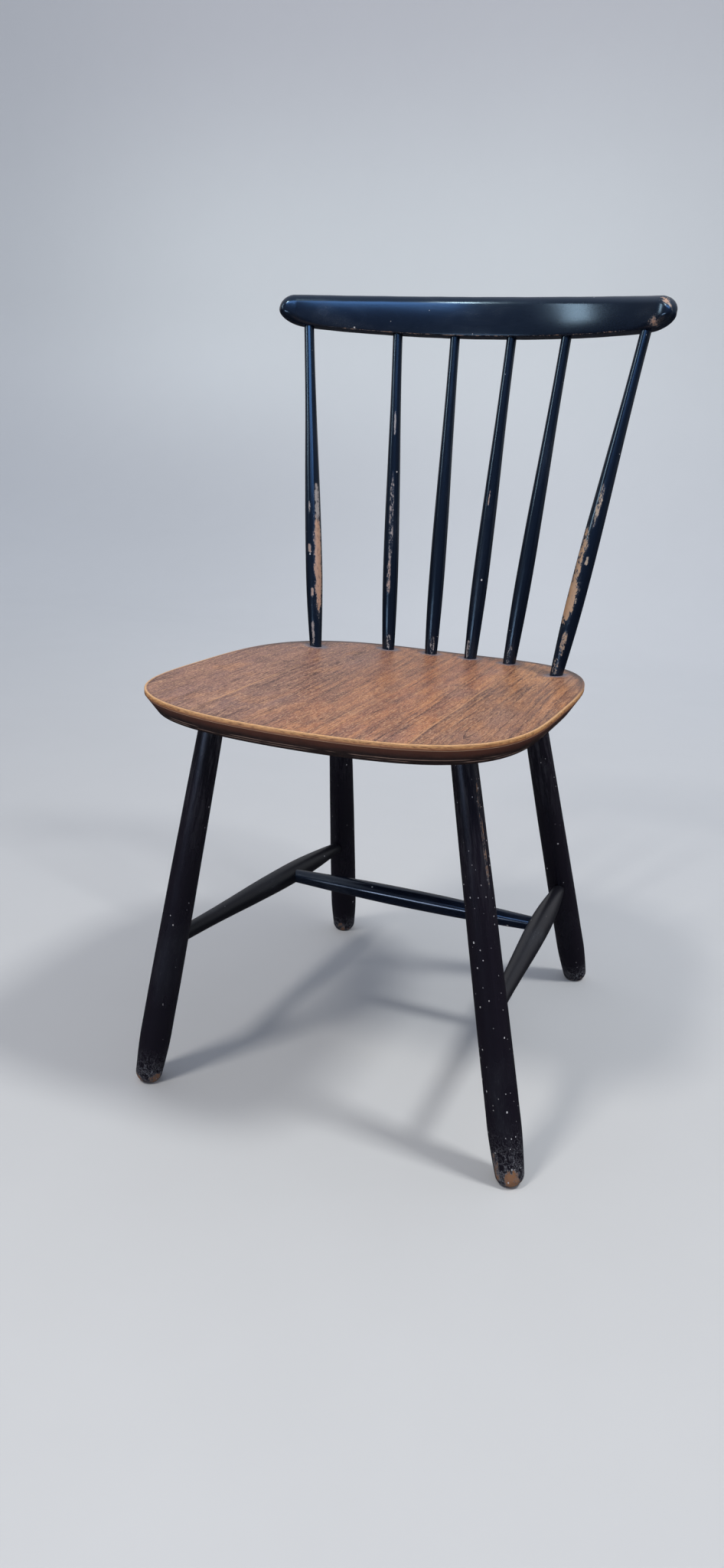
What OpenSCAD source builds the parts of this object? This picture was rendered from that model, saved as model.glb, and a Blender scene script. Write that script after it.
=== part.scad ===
// Spindle-back side chair: a bent plywood seat on four splayed legs that an H of
// stretchers ties together, with six turned spindles under a bent crest rail.
// Every joint is a round tenon glued into a blind socket.
// Frame: the floor is z = 0, the sitter faces -Y, and x = 0 is the plane of symmetry.
// "left" is the side of -X. The origin is under the middle of the chair.

/* [Seat] */
// Width of the seat at its widest
seat_w = 387; // [320:1:470]
// Depth of the seat, front edge to rear edge
seat_d = 451; // [370:1:545]
// Height of the seat's top above the floor, where the spindles stand
seat_h = 438; // [360:1:530]
// Thickness of the moulded plywood
seat_t = 20; // [16:0.5:26]
// Distance of the widest line from the front edge
seat_widest = 192; // [150:1:240]
// How far the seat's sides rise above its middle
seat_dish = 11.4; // [4:0.1:20]
// Backward tilt of the seat
seat_tilt = 0.86; // [0:0.01:4]
// Height of the upright band at the top of the edge
edge_band = 4.5; // [2:0.5:8]
// How far the bevel under the band runs inwards
edge_bevel = 10.2; // [2:0.1:16]
// Squareness of the front corners
front_power = 4.5; // [2:0.1:6]
// Squareness of the rear corners
rear_power = 2.67; // [2:0.01:4]

/* [Legs] */
// Radius of the front legs at their thickest
front_leg_r = 16.4; // [13:0.1:20]
// Radius of the front legs at the seat
front_leg_top_r = 11.9; // [9.5:0.1:14.5]
// Radius of the rear legs at their thickest
rear_leg_r = 17; // [14:0.1:21]
// Radius of the rear legs at the seat
rear_leg_top_r = 12.4; // [10:0.1:15]
// Distance of the front legs from the seat's widest side, at the seat
front_leg_side = 68.3; // [40:0.1:90]
// Distance of the front legs from the seat's front edge, at the seat
front_leg_in = 83; // [60:0.1:110]
// Distance of the rear legs from the seat's widest side, at the seat
rear_leg_side = 78.3; // [50:0.1:100]
// Distance of the rear legs from the seat's rear edge, at the seat
rear_leg_in = 89; // [60:0.1:120]
// Sideways splay of the front legs
front_splay = 10.71; // [4:0.01:16]
// Forward rake of the front legs
front_rake = 0.26; // [0:0.01:8]
// Sideways splay of the rear legs
rear_splay = 7.36; // [2:0.01:14]
// Backward rake of the rear legs
rear_rake = 23.2; // [10:0.1:28]
// Length of the rounded foot end
foot_round = 12.5; // [8:0.5:18]
// How much of the rounded foot end is worn flat
foot_wear = 1.3; // [0.5:0.1:3]
// Height above the floor where a leg starts to narrow towards its foot
foot_taper = 50; // [30:1:70]
// Radius at the rounded foot end, as a share of the leg's
foot_share = 0.88; // [0.75:0.01:0.95]

/* [Stretchers] */
// Height of the side stretchers' axis on the front legs
side_front_z = 176; // [140:1:220]
// Height of the side stretchers' axis on the rear legs
side_rear_z = 153; // [120:1:200]
// Radius of a side stretcher at the front leg
side_front_r = 8; // [6.5:0.1:10.5]
// Radius of a side stretcher at its belly
side_belly_r = 12.7; // [10.5:0.1:15.5]
// Radius of a side stretcher at the rear leg
side_rear_r = 7.1; // [5.5:0.1:9]
// Distance along a side stretcher from the front leg to the cross stretcher
cross_from_front = 249; // [200:1:300]
// Radius of the cross stretcher at its ends
cross_end_r = 8.2; // [6.5:0.1:10]
// Radius of the cross stretcher at its middle
cross_belly_r = 11.5; // [9:0.1:14]
// How far a stretcher's tenon goes past the axis of what holds it
tenon_past = 3; // [0:0.5:6]

/* [Crest rail] */
// Height of the crest rail's top above the floor
back_h = 837; // [700:1:1010]
// Length of the crest rail along its curve
crest_len = 474; // [390:1:570]
// Radius of the crest rail's curve, at its middle line
crest_r = 336; // [300:1:420]
// Thickness of the crest rail
crest_t = 22; // [18:0.5:28]
// Height of the crest rail at its middle
crest_mid_h = 43; // [36:0.5:54]
// Height of the crest rail towards its ends
crest_end_h = 30; // [25:0.5:38]
// Backward lean of the crest rail's face
crest_lean = 6.6; // [0:0.1:14]
// Length of the rounded nose at each end, over its upper half
crest_nose = 17; // [10:0.5:22]
// Length of the rounded nose at each end, over its lower half
crest_low_nose = 30; // [18:0.5:32]
// Distance of the crest rail behind the inner spindles' feet
crest_back = 46; // [10:0.5:80]

/* [Spindles] */
// Distance between the two inner spindles, at the seat
inner_gap = 49.2; // [40:0.1:60]
// Distance across from an inner spindle to the next, at the seat
middle_gap = 50.5; // [36:0.1:60]
// Distance of the outer spindles from the seat's widest side
outer_side = 49.6; // [40:0.1:62]
// Distance of the inner, middle and outer spindles from the seat's rear edge
spindle_edge = [23.7, 25, 22.2];
// Distance along the crest rail between spindles, except the outer ones
crest_gap = 66.8; // [50:0.1:80]
// Distance along the crest rail from its end to the outer spindle
crest_end_gap = 34; // [28:0.5:42]
// Radius of the spindles at the seat: inner, middle and outer
spindle_foot_r = [7.4, 7.4, 7.1];
// Radius of the spindles at their belly: inner, middle and outer
spindle_belly_r = [9, 9, 9.6];
// Radius of the spindles at the crest rail: inner, middle and outer
spindle_top_r = [5.5, 5.5, 5.6];
// Height of the belly above the seat
belly_up = 88; // [50:1:120]
// Depth of a spindle's socket in the seat
spindle_socket = 13; // [8:0.5:14]
// Depth of a spindle's socket in the crest rail
crest_socket = 17; // [10:0.5:20]

/* [Fits] */
// Glue gap around a tenon
glue_gap = 0.1; // [0.05:0.01:0.3]
// Glue gap past a tenon's end
end_gap = 0.3; // [0.1:0.1:0.5]
// Wood left over a leg's socket in the seat
socket_cover = 6; // [5:0.5:8]

/* [Hidden] */
paint = [0.07, 0.07, 0.08];
teak = [0.5, 0.31, 0.22];
facets = 64;
profile_steps = 24;
inner = 0;
middle = 1;
outer = 2;

// --- curves -----------------------------------------------------------------
function mix(a, b, t) = a + (b - a) * t;
function unit(v) = v / norm(v);
// Rises from 0 to 1 and is level at both ends
function ease(t) = (1 - cos(180 * t)) / 2;
// Height of a circle's arc over its lowest point, x away from it
function sagitta(r, x) = r - sqrt(r * r - x * x);
// Half width of a superellipse, as a share, at a share of its half length
function bulge(t, power) = pow(max(0, 1 - pow(abs(t), power)), 1 / power);

// --- places -----------------------------------------------------------------
half_w = seat_w / 2;
dish_r = half_w * half_w / (2 * seat_dish);
rear_half = seat_d - seat_widest;

// How far behind the seat's widest line its rear edge lies at x, drawn in by a margin
function behind_widest(x, margin) = (rear_half - margin) * bulge(x / (half_w - margin), rear_power);

spindle_x = [inner_gap / 2, inner_gap / 2 + middle_gap, half_w - outer_side];
spindle_back = [for (i = [0:2]) behind_widest(spindle_x[i], spindle_edge[i])];
// Height of the seat's top, back from its widest line; it tilts about the inner spindles' feet
function top_height(x, back) = seat_h + sagitta(dish_r, x) - tan(seat_tilt) * (back - spindle_back[inner]);

// A leg from the floor up: a rounded end, then a gentle widening, as [distance, radius]
round_end_steps = 10;
taper_steps = 6;
taper_bend = 1.2;
foot_top = foot_round - foot_wear;
function foot_profile(r) = concat(
    [for (k = [1:round_end_steps]) let (a = 90 * k / round_end_steps)
        [foot_top - foot_round * cos(a), foot_share * r * sin(a)]],
    [for (k = [1:taper_steps]) let (t = k / taper_steps)
        [mix(foot_top, foot_taper, t), r * (1 - (1 - foot_share) * pow(1 - t, taper_bend))]]);

// The rear feet reach furthest back and the seat's front edge furthest forward
rear_head_back = rear_half - rear_leg_in;
rear_head_z = top_height(half_w - rear_leg_side, rear_head_back) - seat_t;
rear_axis = unit([tan(rear_splay), tan(rear_rake), -1]);
foot_reach = max([for (p = foot_profile(rear_leg_r))
    p[1] * norm([rear_axis[0], rear_axis[2]]) - p[0] * rear_axis[1]]);
furthest_back = rear_head_back + rear_head_z * tan(rear_rake) + foot_reach;
widest_y = (seat_widest - furthest_back) / 2;
front_y = widest_y - seat_widest;
rear_y = widest_y + rear_half;
pivot_y = widest_y + spindle_back[inner];
function seat_top(x, y) = top_height(x, y - widest_y);

// The seat's outline, drawn in by an even margin, at an angle from the +X side
function seat_edge(angle, margin = 0) =
    let (front = sin(angle) < 0, power = front ? front_power : rear_power,
        depth = front ? seat_widest : rear_half)
    [(half_w - margin) * sign(cos(angle)) * pow(abs(cos(angle)), 2 / power),
        widest_y + (depth - margin) * sign(sin(angle)) * pow(abs(sin(angle)), 2 / power)];

// A spindle's foot on the seat
function spindle_foot(i, side) =
    [side * spindle_x[i], widest_y + spindle_back[i], top_height(spindle_x[i], spindle_back[i])];

// The crest rail's middle line is an arc about a vertical axis, and its face leans back
crest_half = crest_len / 2;
crest_mid_z = back_h - crest_mid_h / 2 * cos(crest_lean);
crest_axis_y = pivot_y + crest_back - crest_r;
function crest_angle(s) = s / crest_r * 180 / PI;
function crest_height(s) = mix(crest_mid_h, crest_end_h, pow(s / crest_half, 2));
function crest_out(s) = [sin(crest_angle(s)), cos(crest_angle(s)), 0];
function crest_up(s) = crest_out(s) * sin(crest_lean) + [0, 0, cos(crest_lean)];
function crest_back_dir(s) = crest_out(s) * cos(crest_lean) - [0, 0, sin(crest_lean)];
function crest_mid(s) = [0, crest_axis_y, crest_mid_z] + crest_r * crest_out(s);

crest_s = [crest_gap / 2, crest_gap * 1.5, crest_half - crest_end_gap];
// Where a spindle's axis meets the underside of the crest rail
function spindle_top(i, side) =
    crest_mid(side * crest_s[i]) - crest_up(crest_s[i] * side) * crest_height(crest_s[i]) / 2;

// Where a leg's axis meets the seat's underside, and the axis's downward direction
function leg_head(front, side) =
    let (x = half_w - (front ? front_leg_side : rear_leg_side),
        y = front ? front_y + front_leg_in : rear_y - rear_leg_in)
    [side * x, y, seat_top(x, y) - seat_t];
function leg_down(front, side) =
    front ? unit([side * tan(front_splay), -tan(front_rake), -1])
        : unit([side * tan(rear_splay), tan(rear_rake), -1]);
function leg_at(front, side, z) =
    let (head = leg_head(front, side), down = leg_down(front, side))
    head + down * (head[2] - z) / -down[2];

// The side stretcher's two ends and the cross stretcher's two ends, on the axes that hold them
function side_end(front, side) = leg_at(front, side, front ? side_front_z : side_rear_z);
function cross_end(side) =
    let (a = side_end(true, side), b = side_end(false, side)) a + unit(b - a) * cross_from_front;

// --- turned pieces ----------------------------------------------------------
// Stands a piece that runs up +Z on point a, pointing at point b
module along(a, b) {
    d = b - a;
    translate(a) rotate([0, acos(d[2] / norm(d)), atan2(d[1], d[0])]) children();
}

// A turned piece: points of [distance along the axis, radius], closed at both ends
module turned(points) {
    last = points[len(points) - 1];
    rotate_extrude($fn = facets)
        polygon(concat([[0, points[0][0]]], [for (p = points) [p[1], p[0]]], [[0, last[0]]]));
}

// A straight round socket for a tenon, from point a towards point b
module socket(a, b, radius, depth) {
    along(a, b) cylinder(r = radius + glue_gap, h = depth + end_gap, $fn = facets);
}

// --- seat -------------------------------------------------------------------
outline_steps = 96;
// Rings of the seat's edge: [drop below the top, inward run], past both faces
over_cut = 8;
edge_rings = [[-over_cut, 0], [edge_band, 0],
    [seat_t + over_cut, edge_bevel * (seat_t + over_cut - edge_band) / (seat_t - edge_band)]];

// The outline with its upright band and undercut bevel, taller than the plywood
module seat_blank() {
    n = outline_steps;
    rings = [for (r = edge_rings, k = [0:n - 1])
        let (p = seat_edge(360 * k / n, r[1])) [p[0], p[1], seat_top(p[0], p[1]) - r[0]]];
    caps = [[0, widest_y, seat_top(0, widest_y) + over_cut],
        [0, widest_y, seat_top(0, widest_y) - seat_t - over_cut]];
    top_cap = 3 * n;
    walls = [for (r = [0, 1], k = [0:n - 1])
        let (a = r * n + k, b = r * n + (k + 1) % n)
        each [[a, b, b + n], [a, b + n, a + n]]];
    polyhedron(concat(rings, caps), concat(walls,
        [for (k = [0:n - 1]) [(k + 1) % n, k, top_cap]],
        [for (k = [0:n - 1]) [2 * n + k, 2 * n + (k + 1) % n, top_cap + 1]]));
}

// The bent board: a shell between two cylinders that share an axis
module bent_board() {
    translate([0, pivot_y, seat_h]) rotate([-seat_tilt, 0, 0]) translate([0, seat_d / 2, dish_r])
        rotate([90, 0, 0]) difference() {
            cylinder(r = dish_r + seat_t, h = 2 * seat_d, $fn = 1440);
            translate([0, 0, -1]) cylinder(r = dish_r, h = 2 * seat_d + 2, $fn = 1440);
        }
}

module seat() {
    color(teak) difference() {
        intersection() {
            seat_blank();
            bent_board();
        }
        for (i = [inner, middle, outer], side = [-1, 1]) spindle_socket_in_seat(i, side);
        for (front = [true, false], side = [-1, 1]) leg_socket_in_seat(front, side);
    }
}

// --- crest rail -------------------------------------------------------------
top_round = 9.5;
low_round = 2;
round_steps = 5;
// Section of the rail: [backwards, upwards] from its middle, scaled by its height
function corner(x, z, r, from) = [for (k = [0:round_steps])
    let (a = from + 90 * k / round_steps) [x + r * cos(a), z + r * sin(a)]];
function rail_section(h) = let (t = crest_t / 2, z = h / 2) concat(
    corner(t - top_round, z - top_round, top_round, 0),
    corner(top_round - t, z - top_round, top_round, 90),
    corner(low_round - t, low_round - z, low_round, 180),
    corner(t - low_round, low_round - z, low_round, 270));

// Stations along the rail: [place, scale of the upper half, of the lower half, of the thickness]
rail_steps = 40;
nose_steps = 10;
nose_tip = 0.2;
nose_thinning = 0.8;
// How much of the section is left at a distance from the end
function nose_scale(far, long) = max(nose_tip, bulge(max(0, 1 - far / long), 2));
function nose(k) =
    let (far = crest_low_nose * (1 - sin(90 * k / nose_steps)), upper = nose_scale(far, crest_nose))
    [crest_half - far, upper, nose_scale(far, crest_low_nose), mix(1, upper, nose_thinning)];
function flip(v) = [-v[0], v[1], v[2], v[3]];
straight = crest_half - crest_low_nose;
stations = concat([for (k = [nose_steps:-1:1]) flip(nose(k))],
    [for (k = [0:rail_steps]) [mix(-straight, straight, k / rail_steps), 1, 1, 1]],
    [for (k = [1:nose_steps]) nose(k)]);

module rail_blank() {
    m = 4 * (round_steps + 1);
    last = (len(stations) - 1) * m;
    points = [for (st = stations, p = rail_section(crest_height(st[0])))
        crest_mid(st[0]) + crest_back_dir(st[0]) * p[0] * st[3]
            + crest_up(st[0]) * p[1] * (p[1] > 0 ? st[1] : st[2])];
    skin = [for (r = [0:len(stations) - 2], k = [0:m - 1])
        let (a = r * m + k, b = r * m + (k + 1) % m)
        each [[a, b, b + m], [a, b + m, a + m]]];
    polyhedron(points, concat(skin, [[for (k = [m - 1:-1:0]) k]], [[for (k = [0:m - 1]) last + k]]));
}

module crest_rail() {
    color(paint) difference() {
        rail_blank();
        for (i = [inner, middle, outer], side = [-1, 1]) spindle_socket_in_crest(i, side);
    }
}

// --- spindles ---------------------------------------------------------------
// The turned length starts and ends with a short straight run that fills the socket's mouth
straight_run = 5;
function spindle_radius(i, t, belly) = t < belly
    ? mix(spindle_foot_r[i], spindle_belly_r[i], sin(90 * t / belly))
    : mix(spindle_belly_r[i], spindle_top_r[i], ease((t - belly) / (1 - belly)));

module spindle(i, side) {
    foot = spindle_foot(i, side);
    top = spindle_top(i, side);
    long = norm(top - foot);
    turned_long = long - 2 * straight_run;
    along(foot, top) turned(concat([[-spindle_socket, spindle_foot_r[i]]],
        [for (k = [0:profile_steps]) let (t = k / profile_steps)
            [straight_run + t * turned_long, spindle_radius(i, t, belly_up / long)]],
        [[long + crest_socket, spindle_top_r[i]]]));
}

module spindle_socket_in_seat(i, side) {
    foot = spindle_foot(i, side);
    up = unit(spindle_top(i, side) - foot);
    // The mouth is cut from above the dished top
    socket(foot + up * seat_dish, foot - up, spindle_foot_r[i], spindle_socket + seat_dish);
}

module spindle_socket_in_crest(i, side) {
    top = spindle_top(i, side);
    up = unit(top - spindle_foot(i, side));
    socket(top - up * crest_t / 2, top + up, spindle_top_r[i], crest_socket + crest_t / 2);
}

// --- legs -------------------------------------------------------------------
leg_bend = 1.4;
thick_from = 85;
function leg_big_r(front) = front ? front_leg_r : rear_leg_r;
function leg_top_r(front) = front ? front_leg_top_r : rear_leg_top_r;
function leg_radius(front, t) = mix(leg_big_r(front), leg_top_r(front), pow(max(0, t), leg_bend));
// Length of a leg's tenon in the seat, measured from the seat's underside
leg_tenon = seat_t - socket_cover;

// The leg stands on the floor: its rounded end is worn flat at z = 0
module leg(front, side) {
    foot = leg_at(front, side, 0);
    head = leg_head(front, side);
    long = norm(head - foot);
    taper_end = long - straight_run;
    difference() {
        along(foot, head) turned(concat(
            foot_profile(leg_big_r(front)),
            [for (k = [0:profile_steps]) let (t = k / profile_steps)
                [mix(thick_from, taper_end, t), leg_radius(front, t)]],
            [[long + leg_tenon, leg_top_r(front)]]));
        translate([foot[0], foot[1], -foot_round])
            cylinder(r = 2 * leg_big_r(front), h = foot_round, $fn = facets);
        side_socket(front, side);
    }
}

module leg_socket_in_seat(front, side) {
    head = leg_head(front, side);
    down = leg_down(front, side);
    socket(head + down * leg_tenon, head - down, leg_top_r(front), 2 * leg_tenon);
}

// --- stretchers -------------------------------------------------------------
function side_end_r(front) = front ? side_front_r : side_rear_r;

// The side stretcher swells slowly from the front leg and drops quickly to the rear leg
function side_radius(t, belly) = t < belly
    ? mix(side_front_r, side_belly_r, ease(t / belly))
    : mix(side_rear_r, side_belly_r, cos(90 * (t - belly) / (1 - belly)));

module side_stretcher(side) {
    a = side_end(true, side);
    b = side_end(false, side);
    long = norm(b - a);
    from = front_leg_r + straight_run / 2;
    to = long - rear_leg_r / cos(rear_rake) - straight_run / 2;
    difference() {
        along(a, b) turned(concat([[-tenon_past, side_front_r]],
            [for (k = [0:profile_steps]) let (t = k / profile_steps)
                [mix(from, to, t), side_radius(t, (cross_from_front - from) / (to - from))]],
            [[long + tenon_past, side_rear_r]]));
        cross_socket(side);
    }
}

// The socket in a leg for a side stretcher
module side_socket(front, side) {
    a = side_end(front, side);
    inward = unit(side_end(!front, side) - a);
    reach = 2 * leg_big_r(front);
    socket(a + inward * reach, a, side_end_r(front), reach + tenon_past);
}

module cross_stretcher() {
    a = cross_end(-1);
    b = cross_end(1);
    long = norm(b - a);
    from = side_belly_r + straight_run / 2;
    to = long - from;
    color(paint) along(a, b) turned(concat([[-tenon_past, cross_end_r]],
        [for (k = [0:profile_steps]) let (t = k / profile_steps)
            [mix(from, to, t), mix(cross_end_r, cross_belly_r, sin(180 * t))]],
        [[long + tenon_past, cross_end_r]]));
}

// The socket in a side stretcher for the cross stretcher
module cross_socket(side) {
    a = cross_end(side);
    inward = unit(cross_end(-side) - a);
    reach = 2 * side_belly_r;
    socket(a + inward * reach, a, cross_end_r, reach + tenon_past);
}

// --- the pieces, one module each ---------------------------------------------
module spindle_left_outer() color(paint) spindle(outer, -1);
module spindle_left_middle() color(paint) spindle(middle, -1);
module spindle_left_inner() color(paint) spindle(inner, -1);
module spindle_right_inner() color(paint) spindle(inner, 1);
module spindle_right_middle() color(paint) spindle(middle, 1);
module spindle_right_outer() color(paint) spindle(outer, 1);
module leg_front_left() color(paint) leg(true, -1);
module leg_front_right() color(paint) leg(true, 1);
module leg_rear_left() color(paint) leg(false, -1);
module leg_rear_right() color(paint) leg(false, 1);
module side_stretcher_left() color(paint) side_stretcher(-1);
module side_stretcher_right() color(paint) side_stretcher(1);

seat();
crest_rail();
spindle_left_outer();
spindle_left_middle();
spindle_left_inner();
spindle_right_inner();
spindle_right_middle();
spindle_right_outer();
leg_front_left();
leg_front_right();
leg_rear_left();
leg_rear_right();
side_stretcher_left();
side_stretcher_right();
cross_stretcher();
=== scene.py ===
# %% [markdown]
# # A spindle-back side chair with worn black paint
#
# This lesson dresses a measured chair. The chair has a bent plywood seat with a teak face, four
# splayed legs, an H of stretchers, six turned spindles and a bent crest rail. All the turned
# wood is beech under satin black paint, and the paint has been knocked and peeled off where
# people sit, lean and kick. The measured model gives every place and size. What is made here is
# the fine shape of each piece and its finish.

# %% Load the measured chair
import math

import bpy
import numpy as np
from mathutils import Matrix, Vector


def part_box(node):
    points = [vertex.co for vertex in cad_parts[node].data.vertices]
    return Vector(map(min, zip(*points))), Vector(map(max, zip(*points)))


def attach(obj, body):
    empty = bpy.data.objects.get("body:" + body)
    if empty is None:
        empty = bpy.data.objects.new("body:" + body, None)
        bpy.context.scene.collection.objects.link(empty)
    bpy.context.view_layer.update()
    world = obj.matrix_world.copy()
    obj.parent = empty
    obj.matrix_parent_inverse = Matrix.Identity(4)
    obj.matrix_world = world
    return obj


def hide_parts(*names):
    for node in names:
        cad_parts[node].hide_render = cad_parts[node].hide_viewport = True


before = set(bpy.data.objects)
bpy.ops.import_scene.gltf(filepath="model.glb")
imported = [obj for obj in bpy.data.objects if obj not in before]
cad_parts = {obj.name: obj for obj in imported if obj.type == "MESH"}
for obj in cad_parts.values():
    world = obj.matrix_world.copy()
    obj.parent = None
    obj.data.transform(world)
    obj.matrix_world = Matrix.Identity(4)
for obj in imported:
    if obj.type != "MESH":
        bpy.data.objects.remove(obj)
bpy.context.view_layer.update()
MM = 0.001
print("pieces in the measured chair:", len(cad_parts))

# %% [markdown]
# ## The camera
#
# A chair looks most like itself from a little above the seat and off to one side, so that the
# seat shows its whole outline and the back its fan of spindles. The camera stands to the right
# of the chair's front, and its frame is tall. The lens is given as a share of the sensor's
# height, which says what it takes in whatever the sensor's size.

# %% Stand the camera
CAMERA_PLACE = (0.3981, -1.1177, 0.6978)
CAMERA_YAW, CAMERA_PITCH, CAMERA_ROLL = 0.3782, 0.3102, -0.0454
LENS_SHARE = 0.7186


def camera_axes(yaw, pitch, roll):
    """The camera's right, up and backward directions, from three turns in radians."""
    flat = math.cos(pitch)
    ahead = Vector((-math.sin(yaw) * flat, math.cos(yaw) * flat, -math.sin(pitch)))
    level = Vector((math.cos(yaw), math.sin(yaw), 0))
    above = level.cross(ahead)
    right = math.cos(roll) * level - math.sin(roll) * above
    up = math.sin(roll) * level + math.cos(roll) * above
    return right, up, -ahead


def add_camera(place, yaw, pitch, roll, lens_share):
    data = bpy.data.cameras.new("camera")
    data.sensor_fit = "VERTICAL"
    data.lens = lens_share * data.sensor_height
    camera = bpy.data.objects.new("camera", data)
    bpy.context.scene.collection.objects.link(camera)
    turn = Matrix(camera_axes(yaw, pitch, roll)).transposed().to_4x4()
    camera.matrix_world = Matrix.Translation(place) @ turn
    bpy.context.scene.camera = camera
    return camera


camera = add_camera(CAMERA_PLACE, CAMERA_YAW, CAMERA_PITCH, CAMERA_ROLL, LENS_SHARE)
print("camera lens:", round(camera.data.lens, 2), "mm, sensor height", camera.data.sensor_height, "mm")

# %% [markdown]
# ## The room
#
# The chair stands on a sheet of pale grey paper that runs up behind it in one sweep, so no
# corner shows. A flat floor would end in a horizon. The sweep is one strip of mesh: a profile
# that goes back, bends up through a wide arc and rises.

# %% Roll out the paper sweep
def strip_mesh(name, rows):
    """A mesh from equal rows of points, each joined to the next."""
    count = len(rows[0])
    faces = [(r * count + k, r * count + k + 1, (r + 1) * count + k + 1, (r + 1) * count + k)
             for r in range(len(rows) - 1) for k in range(count - 1)]
    mesh = bpy.data.meshes.new(name)
    mesh.from_pydata([tuple(p) for row in rows for p in row], [], faces)
    mesh.polygons.foreach_set("use_smooth", [True] * len(mesh.polygons))
    mesh.update()
    return mesh


def add_object(name, mesh):
    piece = bpy.data.objects.new(name, mesh)
    bpy.context.scene.collection.objects.link(piece)
    return piece


def paper_sweep(front, back, bend, top, half_width):
    """A floor from front to back, an arc upwards, and a wall up to the top."""
    steps = 24
    turns = [k / steps * math.pi / 2 for k in range(steps + 1)]
    arc = [(back + bend * math.sin(a), bend * (1 - math.cos(a))) for a in turns]
    profile = [(front, 0.0)] + arc + [(back + bend, top)]
    xs = [-half_width, 0.0, half_width]
    return strip_mesh("paper_sweep", [[(x, y, z) for x in xs] for y, z in profile])


sweep = paper_sweep(front=-3.0, back=2.4, bend=1.2, top=5.0, half_width=5.0)
paper = add_object("paper_sweep", sweep)
print("paper sweep faces:", len(paper.data.polygons))

# %% [markdown]
# ## The light
#
# Two soft lamps stand high over the chair, one to its right and one in front of it. Each throws
# its own shadow, so the legs and stretchers draw crossing grey bands on the paper. Black paint
# shows little else than what it mirrors, so three more lamps are there only to be mirrored: a
# tall narrow one at the left draws crisp upright streaks on the round spindles, a wide blue one
# in front stands for a window, and a small low one for the light under its sill, which the cross
# stretcher catches. Their light is switched off for matt surfaces. The world is a pale room
# behind the chair, a dim one in front of it, and dark below the horizon; looked at straight, it
# is simply pale, so that the chair can be seen from any side.

# %% Hang the lamps
LAMP_TARGET = (0.0, 0.0, 0.3)


def add_lamp(name, towards, distance, size, watts, colour, target=LAMP_TARGET, only_mirrored=False):
    """A rectangular lamp at a distance from its target, in the direction it hangs towards."""
    data = bpy.data.lights.new(name, "AREA")
    data.shape = "RECTANGLE"
    data.size, data.size_y = size
    data.energy = watts
    data.color = colour
    lamp = bpy.data.objects.new(name, data)
    bpy.context.scene.collection.objects.link(lamp)
    way = Vector(towards).normalized()
    turn = way.to_track_quat("Z", "Y").to_matrix().to_4x4()
    lamp.matrix_world = Matrix.Translation(Vector(target) + way * distance) @ turn
    lamp.visible_diffuse = not only_mirrored
    return lamp


lamps = [
    add_lamp("lamp_right", towards=(0.53, -0.18, 1.0), distance=2.6, size=(0.36, 0.36),
             watts=32, colour=(0.96, 0.985, 1.0)),
    add_lamp("lamp_front", towards=(-0.22, -0.75, 1.0), distance=2.6, size=(0.36, 0.36),
             watts=24.5, colour=(1.0, 0.98, 0.955)),
    add_lamp("lamp_streak", towards=(-0.77, -0.59, 0.40), distance=2.6, size=(0.45, 1.0),
             watts=15, colour=(0.86, 0.91, 1.0), target=(0.0, 0.1, 0.62), only_mirrored=True),
    add_lamp("lamp_window", towards=(0.24, -0.80, 0.57), distance=3.2, size=(2.9, 1.25),
             watts=84, colour=(0.28, 0.50, 1.0), target=(0.0, 0.1, 0.72), only_mirrored=True),
    add_lamp("lamp_sill", towards=(-0.31, -0.94, 0.10), distance=1.7, size=(0.8, 0.22),
             watts=9, colour=(0.66, 0.76, 1.0), target=(0.0, 0.0, 0.18), only_mirrored=True),
]
for lamp in lamps:
    print(lamp.name, "at", [round(v, 2) for v in lamp.location], lamp.data.energy, "W")

# %% [markdown]
# ## Writing finishes as sums
#
# A finish is a graph of nodes, and graphs are hard to read as code. A small class wraps one
# output socket and lets Python's own signs add the Math nodes, so a mask can be written as
# `1 - worn * 0.5`. Every other node comes from one method, which sets the node's own settings
# first and then its sockets. A finish is such a graph for a material, and the world has one too.

# %% The wire, the graph and the finish
def wire_maths(operation):
    def build(self, other):
        return self.graph.node("ShaderNodeMath", {"operation": operation}, {0: self, 1: other})
    return build


def wire_maths_reflected(operation):
    def build(self, other):
        return self.graph.node("ShaderNodeMath", {"operation": operation}, {0: other, 1: self})
    return build


class Wire:
    """One output socket of a node, usable in sums."""

    def __init__(self, graph, socket):
        self.graph = graph
        self.socket = socket

    __add__ = wire_maths("ADD")
    __radd__ = wire_maths_reflected("ADD")
    __sub__ = wire_maths("SUBTRACT")
    __rsub__ = wire_maths_reflected("SUBTRACT")
    __mul__ = wire_maths("MULTIPLY")
    __rmul__ = wire_maths_reflected("MULTIPLY")
    __truediv__ = wire_maths("DIVIDE")


class Graph:
    """Nodes that are made by sums and by one method."""

    def __init__(self, owner):
        owner.use_nodes = True
        self.tree = owner.node_tree

    def node(self, kind, settings, sockets, output=0):
        made = self.tree.nodes.new(kind)
        for setting, value in settings.items():
            setattr(made, setting, value)
        for socket, value in sockets.items():
            self.feed(made.inputs[socket], value)
        return Wire(self, made.outputs[output])

    def feed(self, socket, value):
        if isinstance(value, Wire):
            self.tree.links.new(value.socket, socket)
        elif isinstance(value, tuple) and len(value) == 3 and socket.type == "RGBA":
            socket.default_value = (*value, 1.0)
        else:
            socket.default_value = value


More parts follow.
